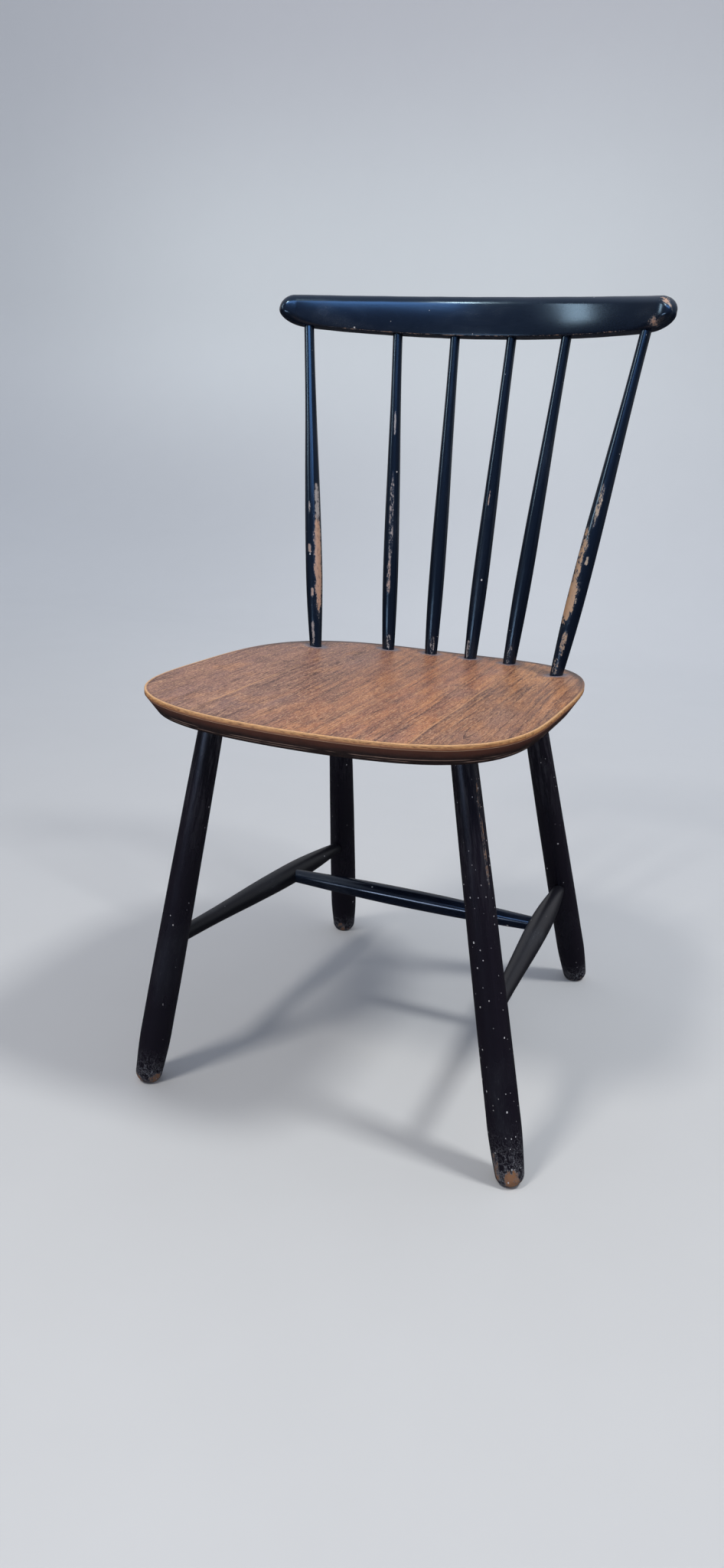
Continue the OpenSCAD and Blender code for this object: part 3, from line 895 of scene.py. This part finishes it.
def painted_beech(name, place, along, patches, tint, seed, specks, scuff, dull, more_wear=None,
                  grime=0.0, dirt=(0.26, 0.105, 0.025), sheen=(1.0, 1.0, 1.0), gloss=0.5):
    """Black paint over beech. place and along are functions that read a point's own place."""
    f = Finish(name)
    place, along = place(f), along(f)
    shift = (seed * 1.7, seed * 0.9, seed * 2.3)
    ragged = grain(f, place, (300.0, 300.0, 110.0), 4.0, 0.7, shift=shift)
    crumbs = grain(f, place, (900.0, 900.0, 480.0), 2.0, 0.6, shift=shift)
    brush = grain(f, place, (700.0, 700.0, 9.0), shift=shift)
    cloud = grain(f, place, (22.0, 22.0, 9.0), shift=shift)
    lines = grain(f, place, (420.0, 420.0, 30.0), 2.0, 0.5, 1.2, shift=shift)
    stain = grain(f, place, (500.0, 500.0, 200.0), 3.0, 0.7, shift=shift)

    worn, pale = worn_by(f, place, along, patches)
    scribble = 0.0
    if more_wear:
        wear, scribble = more_wear(f, place, along)
        worn = larger(f, worn, wear)
    worn = worn + (ragged - 0.5) * 1.3 + (crumbs - 0.5) * 0.9
    bare = step(f, worn, 0.50, 0.55)
    rim = step(f, worn, 0.43, 0.49) * (1 - bare)
    rubbed = smaller(f, step(f, worn, 0.05, 0.45) * 0.5 + step(f, cloud, 0.5, 0.72) * scuff, 1.0)
    scratches = near(f, lines, 0.5, 0.012) * step(f, cloud, 0.52, 0.66) * scuff
    dots = chipped_dots(f, stretch(f, place, (215.0, 215.0, 150.0), shift), specks)

    paint = layered(f, blend(f, tint, tuple(tone * 1.7 + 0.002 for tone in tint), brush),
                    ((0.05, 0.055, 0.065), rubbed * 0.45),
                    ((0.14, 0.145, 0.16), smaller(f, scratches, 1.0)),
                    ((0.26, 0.26, 0.28), scribble),
                    ((0.30, 0.27, 0.26), rim * 0.7))
    primer = blend(f, (0.20, 0.19, 0.19), (0.46, 0.42, 0.39), stain)
    wood = layered(f, beech(f, place),
                   (primer, pale),
                   ((0.10, 0.06, 0.05), step(f, stain, 0.56, 0.66) * 0.6),
                   (dirt, grime))
    colour = layered(f, paint, (wood, bare), ((0.58, 0.56, 0.56), dots))

    relief = (1 - bare) * PAINT_FILM - dots * DOT_DEPTH + brush * FINE_RELIEF + ragged * FINE_RELIEF
    rough = cloud * 0.12 + rubbed * 0.14 + bare * 0.3 + dull
    return f.shade(Base_Color=colour, Roughness=rough, Normal=bumped(f, relief),
                   Specular_IOR_Level=gloss, Specular_Tint=sheen)


def own_height(f):
    return along_axis(f, own_place(f), 2)


print("the paint is written; a patch is low, high, direction, spread, strength, primer")

# %% [markdown]
# ### Where the paint has gone
#
# Every patch is its low and high end in millimetres from the piece's lower end, the direction it
# faces in degrees (0 is the sitter's front, 90 the right), its half spread in degrees, how
# strongly it is worn (below 0 only flakes are gone, 0.4 is bare right through) and how much of
# what shows there is pale primer instead of wood. A leg's entry starts with the heights, in
# millimetres, up to which its foot is scraped bare and scratched. The side stretchers have lost
# their gloss, and the front right leg has the most chips.

# %% Paint the spindles, stretchers and legs
# The navy tints are a painted reflection of the blue window light on one and the same black paint.
NAVY_PAINTED_BLUE_LIGHT = (0.004, 0.007, 0.016)
BLACK = (0.007, 0.0065, 0.009)
BROWN = (0.0075, 0.0055, 0.0095)
BLUE_SHEEN = (0.6, 0.85, 1.0)

SPINDLE_WEAR = {
    "spindle_left_outer": [(54, 166, 58, 25, 0.42, 0.0), (160, 196, 60, 18, 0.25, 0.9),
                           (120, 130, -4, 11, 0.3, 0.3), (70, 80, 10, 9, 0.2, 0.2),
                           (165, 178, 0, 6, 0.1, 0.7), (16, 40, 6, 10, 0.15, 0.8)],
    "spindle_left_middle": [(120, 208, 14, 13, -0.16, 0.75), (80, 116, 6, 11, 0.06, 0.3),
                            (14, 30, 20, 14, -0.08, 1.0), (262, 285, 20, 8, 0.1, 0.9)],
    "spindle_left_inner": [(14, 32, 26, 16, -0.08, 1.0)],
    "spindle_right_inner": [(14, 34, -16, 12, -0.05, 1.0), (190, 206, 2, 4, 0.1, 0.2)],
    "spindle_right_middle": [(14, 34, 0, 14, -0.1, 1.0)],
    "spindle_right_outer": [(72, 122, -34, 34, 0.3, 0.0), (112, 168, -36, 24, 0.1, 0.15),
                            (176, 216, -2, 14, 0.0, 0.9), (36, 60, 0, 16, 0.0, 0.4),
                            (14, 30, -16, 20, -0.05, 0.9), (134, 142, 14, 9, 0.2, 1.0),
                            (92, 98, 12, 7, 0.2, 1.0)],
}
LEG_WEAR = {
    "leg_front_left": (22, 60, [(-10, 6, -30, 34, 0.2, 0.1), (-8, 12, 62, 22, 0.15, 0.3)]),
    "leg_front_right": (30, 90, [(-9, 17, 24, 28, 0.25, 0.0), (6, 34, -34, 10, 0.0, 0.3),
                                 (310, 400, 64, 5, -0.22, 0.1)]),
    "leg_rear_left": (24, 50, [(-6, 16, 12, 16, 0.0, 0.6)]),
    "leg_rear_right": (18, 40, []),
}
KICK_START, KICK_FULL = 0.24, 0.42


def scraped_foot(bare_height, scratched_height):
    """Wear for a leg: a foot scraped bare, scratches over it, faint kick marks higher up."""
    def build(f, place, along):
        loops = grain(f, place, (130.0, 130.0, 90.0), 2.0, 0.6, 2.0)
        knocks = grain(f, place, (260.0, 260.0, 160.0), 2.0, 0.6, 1.0, shift=(5.0, 3.0, 1.0))
        streaks = grain(f, place, (240.0, 240.0, 26.0), 4.0, 0.65)
        fading = 1 - step(f, along, 6 * MM, scratched_height * MM)
        strokes = larger(f, near(f, loops, 0.5, 0.022), near(f, knocks, 0.56, 0.03) * 0.8)
        kicked = step(f, along, KICK_START, KICK_FULL) * step(f, streaks, 0.44, 0.66) * 0.12
        scribble = larger(f, strokes * fading * fading, kicked)
        return 0.40 - along / (bare_height * MM) + (loops - 0.5) * 0.8, scribble
    return build


def paint(name, **choices):
    piece = pieces[name]
    piece.data.materials.append(painted_beech("paint_" + name, **choices))


# The spindles' navy tint is a painted reflection of the blue window light.
for seed, name in enumerate(SPINDLES):
    paint(name, place=own_place, along=own_height, patches=SPINDLE_WEAR[name],
          tint=(0.0025, 0.0045, 0.011), seed=seed, specks=0.08, scuff=0.2, dull=0.13,
          grime=0.45 if name == "spindle_right_outer" else 0.0, dirt=(0.52, 0.32, 0.125),
          sheen=BLUE_SHEEN)
for seed, name in enumerate(STRETCHERS):
    shiny = name == "cross_stretcher"
    paint(name, place=own_place, along=own_height, patches=[],
          tint=NAVY_PAINTED_BLUE_LIGHT if shiny else BLACK, seed=20 + seed, specks=0.04, scuff=0.6,
          dull=0.10 if shiny else 0.34, gloss=0.5 if shiny else 0.3, sheen=(0.8, 0.9, 1.0))
for seed, name in enumerate(LEGS):
    bare_height, scratched_height, patches = LEG_WEAR[name]
    paint(name, place=own_place, along=own_height, patches=patches,
          tint=BROWN, seed=40 + seed, specks=0.85 if name == "leg_front_right" else 0.12,
          scuff=0.22, dull=0.2, more_wear=scraped_foot(bare_height, scratched_height),
          grime=0.8, sheen=(0.75, 0.85, 1.0))
print("painted", len(SPINDLES) + len(STRETCHERS) + len(LEGS), "turned pieces")

# %% [markdown]
# The crest rail takes the same paint. Its place is put together from the two stored values, with
# the run as Z, so that brush marks lie along it. It has lost paint along the lower front arris
# and in two knocked places at its right end, each given by its run and its girth in metres.

# %% Paint the crest rail
ARRIS_GIRTH = 1.2 * MM
ARRIS_ENDS = (0.178, 0.200)
KNOCKED_LOW = (0.221, 0.009)
KNOCKED_TOP = (0.230, 0.034)


def stored(f, label):
    return f.node("ShaderNodeAttribute", {"attribute_name": label}, {}, output=2)


def rail_run(f):
    return stored(f, "run")


def rail_place(f):
    return joined(f, stored(f, "girth"), along_axis(f, own_place(f), 1), rail_run(f))


def rail_wear(f, place, along):
    girth = stored(f, "girth")
    streaks = grain(f, place, (40.0, 40.0, 14.0))
    inside = 1 - step(f, size_of(f, along), *ARRIS_ENDS)
    arris = near(f, girth, ARRIS_GIRTH, 1.6 * MM) * 0.6 * inside + streaks * 0.9 - 0.62

    def knocked(where, strength, steepness):
        run, round_it = where
        beside = size_of(f, along - run) * steepness
        return strength - beside - size_of(f, girth - round_it) * 60.0

    ends = larger(f, knocked(KNOCKED_LOW, 0.72, 50.0), knocked(KNOCKED_TOP, 0.74, 60.0))
    return larger(f, arris, ends), 0.0


paint("crest_rail", place=rail_place, along=rail_run, patches=[], tint=NAVY_PAINTED_BLUE_LIGHT, seed=9, specks=0.02,
      scuff=0.4, dull=0.15, more_wear=rail_wear, sheen=BLUE_SHEEN)
print("painted the crest rail")

# %% [markdown]
# ## Teak and plywood
#
# The face of the seat is teak veneer laid in four leaves that run from front to back. A fine
# pale line marks each joint. Two leaves were cut near the heart of the log, so their lines close
# into long flames there. One value gives that figure: the distance from the flame's heart, with
# the length of the board squeezed, which is nearly the plain distance across where there is no
# flame. Teak shows several scales of grain along it: broad bands of colour, veins and streaks a
# few millimetres wide, hair lines, and short dark pores.

# %% Lay the veneer
JOINTS = (-0.118, 0.012, 0.092)


class Veneer:
    """Where a point lies on the veneer, and the grain it shows there."""

    def __init__(self, f, place):
        self.length = along_axis(f, place, 1)
        self.sway = grain(f, place, (2.5, 3.0, 1.0), 2.0)
        self.ripple = grain(f, place, (26.0, 9.0, 9.0))
        self.lane = along_axis(f, place, 0) + self.length * 0.04 + (self.sway - 0.5) * 0.012
        self.past = [step(f, self.lane, x, x + 0.0006) for x in JOINTS]
        first, second, third = self.past
        heart = third * 0.431 - second * 0.212 - 0.088
        reach = maths(f, "TANH", (self.length + 0.19) * 10.0)
        flame = joined(f, self.lane - heart, reach * 0.011, 0.0)
        ring = vector_maths(f, "LENGTH", flame, output=1)
        leaf_number = first * 3.1 + second * 5.3 + third * 2.2
        along = joined(f, ring + (self.ripple - 0.5) * 0.008, self.length, leaf_number)
        self.bands = grain(f, along, (34.0, 2.6, 1.0), 3.0, 0.5)
        self.veins = grain(f, along, (95.0, 1.4, 1.0), 3.0, 0.6)
        self.figure = grain(f, along, (165.0, 1.9, 1.0), 4.0, 0.66)
        self.hair = grain(f, along, (640.0, 6.0, 1.0), 3.0, 0.7)
        self.fleck = grain(f, place, (520.0, 34.0, 100.0), 4.0, 0.8)
        self.speckle = grain(f, place, (950.0, 240.0, 100.0), 3.0, 0.8, shift=(1.0, 7.0, 2.0))
        self.pores = grain(f, place, (1000.0, 55.0, 100.0), 2.0, shift=(4.0, 2.0, 1.0))
        self.cloud = grain(f, place, (11.0, 7.0, 9.0), 2.0)
        self.dirt = grain(f, place, (34.0, 12.0, 9.0), shift=(2.0, 5.0, 1.0))


def teak_colour(f, v):
    """The veneer's colour, from its broad bands down to its pores, with a painted sheen over the left
    side.
    """
    # The left side is hazed purple-grey: a painted sheen.
    left = step(f, v.lane + (v.ripple - 0.5) * 0.05, 0.0, -0.12)
    centre = near(f, v.lane + (v.sway - 0.5) * 0.1, -0.012, 0.07)
    first, second, third = v.past
    leaf = blend(f, (0.25, 0.125, 0.105), (0.27, 0.125, 0.080), first)
    leaf = layered(f, leaf, ((0.42, 0.155, 0.070), second), ((0.36, 0.175, 0.070), third))
    colour = blend(f, (0.20, 0.077, 0.050), (0.46, 0.18, 0.076), step(f, v.figure, 0.32, 0.66))
    return layered(
        f, colour,
        ((0.64, 0.27, 0.095), step(f, v.bands, 0.50, 0.68) * 0.65),
        ((0.175, 0.065, 0.052), step(f, v.bands, 0.50, 0.34) * 0.6),
        ((0.66, 0.30, 0.115), step(f, v.veins, 0.54, 0.62) * 0.6),
        ((0.130, 0.050, 0.040), step(f, v.veins, 0.47, 0.38) * 0.7),
        ((0.29, 0.165, 0.145), step(f, v.cloud, 0.48, 0.34) * 0.5),
        ((0.54, 0.205, 0.070), step(f, v.cloud, 0.50, 0.64) * 0.55),
        # painted sheen over the left side
        ((0.225, 0.150, 0.145), left * 0.52),
        ((0.52, 0.19, 0.070), centre * 0.35),
        (leaf, 0.28),
        ((0.16, 0.078, 0.056), step(f, v.dirt, 0.50, 0.62) * 0.4),
        ((0.58, 0.25, 0.095), step(f, v.dirt, 0.46, 0.34) * 0.35),
        ((0.080, 0.028, 0.019), step(f, v.hair, 0.50, 0.60) * step(f, v.figure, 0.60, 0.44) * 0.95),
        ((0.66, 0.37, 0.20), step(f, v.fleck, 0.52, 0.64) * 0.45),
        ((0.10, 0.040, 0.028), step(f, v.fleck, 0.48, 0.36) * 0.45),
        ((0.70, 0.42, 0.25), step(f, v.speckle, 0.53, 0.64) * 0.6),
        ((0.08, 0.034, 0.027), step(f, v.speckle, 0.47, 0.37) * 0.7),
        ((0.045, 0.018, 0.012), step(f, v.pores, 0.58, 0.68) * 0.75))


def pale_joints(f, v):
    """The glue lines between the leaves, which fade towards the back."""
    lines = 0.0
    for place, width, share in zip(JOINTS, (0.0011, 0.0009, 0.0012), (1.0, 0.6, 1.0)):
        lines = larger(f, lines, near(f, v.lane, place, width) * share)
    fading = 1 - step(f, v.length, -0.10, 0.05) * 0.85
    return lines * step(f, v.ripple, 0.32, 0.52) * fading


print("the veneer has leaves between", [round(x / MM) for x in JOINTS], "mm")

# %% [markdown]
# The rim of the face is rubbed pale in front and dark behind, and grey dust sits round the
# spindles' feet. The edge shows the board's layers by how far they lie under the face: a golden
# band of birch, pale at its top as a painted highlight and darker below as a painted shade, then
# a pale glue line, then the bevel, darker further down, with thin pale plies.

# %% Finish the seat
def nearest_spindle(f, place):
    """The distance to the nearest spindle's foot."""
    nearest = 1.0
    for foot in spindle_feet:
        apart = vector_maths(f, "DISTANCE", place, tuple(foot), output=1)
        nearest = smaller(f, nearest, apart)
    return nearest


def plywood_edge(f, place, drop, ply_grain):
    """The board's edge, layer by layer, with a painted highlight and painted shade on the band."""
    long_wave = grain(f, place, (30.0, 30.0, 200.0), 2.0)
    ragged = drop + (ply_grain - 0.5) * 0.0016
    birch = layered(
        f, blend(f, (0.22, 0.080, 0.028), (0.66, 0.33, 0.12), step(f, ply_grain, 0.30, 0.62)),
        ((0.26, 0.085, 0.030), step(f, long_wave, 0.5, 0.8) * 0.6),
        # The band is darker from 2.2 mm down, a painted shade, and pale near its top, a painted
        # highlight.
        ((0.27, 0.09, 0.032), step(f, ragged, 2.2 * MM, 3.8 * MM) * 0.75),
        ((0.78, 0.44, 0.19), near(f, drop, 1.0 * MM, 1.0 * MM) * 0.55))
    plies = larger(f, near(f, drop, 15.0 * MM, 0.6 * MM), near(f, drop, 17.3 * MM, 0.5 * MM))
    # The bevel grows darker further down.
    darker_further_down = step(f, drop + (long_wave - 0.5) * 0.006, 6 * MM, 15 * MM)
    bevel = layered(
        f, blend(f, (0.130, 0.034, 0.016), (0.020, 0.008, 0.006), darker_further_down),
        ((0.095, 0.045, 0.035), step(f, ply_grain, 0.4, 0.8) * 0.4),
        ((0.46, 0.29, 0.22), plies * step(f, long_wave, 0.4, 0.58) * 0.85))
    return layered(
        f, birch,
        (bevel, step(f, drop + (ply_grain - 0.5) * 0.0008, 5.2 * MM, 5.7 * MM)),
        ((0.13, 0.05, 0.028), near(f, drop, 4.2 * MM, 0.6 * MM) * 0.7),
        ((0.52, 0.33, 0.22), near(f, drop, 5.1 * MM, 0.5 * MM) * 0.75))


def teak_plywood():
    f = Finish("teak_and_plywood")
    place = own_place(f)
    v = Veneer(f, place)
    drop, rim = stored(f, "drop"), stored(f, "rim")
    in_front = 1 - step(f, v.length, -0.1, 0.05)
    near_rim = (1 - step(f, rim + (v.fleck - 0.5) * 0.003, 0.2 * MM, 1.9 * MM)) * in_front
    behind = step(f, v.length, -0.05, 0.09)
    far_rim = (1 - step(f, rim + (v.fleck - 0.5) * 0.006, 2.0 * MM, 10.0 * MM)) * behind
    smudge = grain(f, place, (120.0, 120.0, 120.0))
    apart = nearest_spindle(f, place) + (smudge - 0.5) * 0.014
    dust = 1 - step(f, apart, 9 * MM, 18 * MM)
    ply_grain = grain(f, place, (160.0, 160.0, 1100.0), 3.0, 0.6)
    on_edge = step(f, drop + (smudge - 0.5) * 0.0006, 0.1 * MM, 0.4 * MM)
    colour = layered(
        f, teak_colour(f, v),
        ((0.62, 0.32, 0.15), pale_joints(f, v) * 0.85),
        ((0.72, 0.42, 0.19), near_rim * 0.8),
        ((0.10, 0.040, 0.024), near(f, rim, 2.4 * MM, 1.3 * MM) * 0.5),
        ((0.040, 0.028, 0.028), far_rim * 0.85),
        ((0.15, 0.15, 0.18), dust * 0.8),
        (plywood_edge(f, place, drop, ply_grain), on_edge))

    on_face = 1 - step(f, drop, 0.3 * MM, 0.7 * MM)
    pits = step(f, v.pores, 0.60, 0.70)
    face_relief = (v.figure - pits) * (0.03 * MM) + v.fleck * (0.04 * MM)
    relief = face_relief * on_face + ply_grain * (1 - on_face) * (0.08 * MM)
    rough = v.fleck * 0.2 + v.speckle * 0.14 + 0.22 + (1 - on_face) * 0.2 + dust * 0.1
    return f.shade(Base_Color=colour, Roughness=rough, Normal=bumped(f, relief),
                   Specular_IOR_Level=0.42, Specular_Tint=(1.0, 0.85, 0.75))


seat.data.materials.append(teak_plywood())
print("finished the seat")

# %% [markdown]
# ## The pieces and the picture
#
# Every piece rides on the chair's one rigid body. The picture is
# shown with plain colours, with no film curve, so the finishes read as they are written.

# %% Fasten the pieces
for name, piece in pieces.items():
    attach(piece, "root")
bpy.context.scene.view_settings.view_transform = "Standard"
print("triangles:", sum(2 * len(p.data.polygons) for p in pieces.values()))
